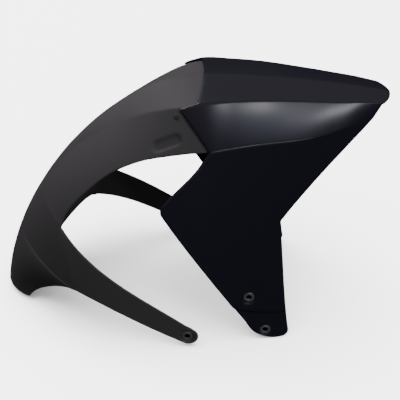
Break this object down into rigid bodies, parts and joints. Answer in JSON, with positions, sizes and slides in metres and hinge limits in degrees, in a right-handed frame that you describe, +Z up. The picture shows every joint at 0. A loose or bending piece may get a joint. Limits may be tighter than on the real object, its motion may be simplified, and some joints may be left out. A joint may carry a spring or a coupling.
{
  "type": "motorcycle front mudguard",
  "caption": "Motorcycle front mudguard: a glossy front cowl with two side legs lapped over a satin rear hugger with two long arms, fixed through flanged collars.",
  "frame": {"origin": "centre of the bounding box footprint, on the floor plane the feet stand on", "axes": "+X towards the nose, +Y towards the rider's left, +Z up"},
  "size_m": [0.4715, 0.2458, 0.3106],
  "materials": {
    "gloss_black": "painted gloss near-black with clear coat",
    "satin_grey": "satin moulded dark grey",
    "steel": "zinc-plated steel",
    "rivet_black": "matt black nylon"
  },
  "bodies": {
    "root": {"front_cowl": "gloss_black", "rear_hugger": "satin_grey", "arm_collar_left": "steel", "arm_collar_right": "steel", "foot_collar_upper_left": "steel", "foot_collar_upper_right": "steel", "foot_collar_lower_left": "steel", "foot_collar_lower_right": "steel", "seam_rivet_left": "rivet_black", "seam_rivet_right": "rivet_black"}
  },
  "joints": []
}
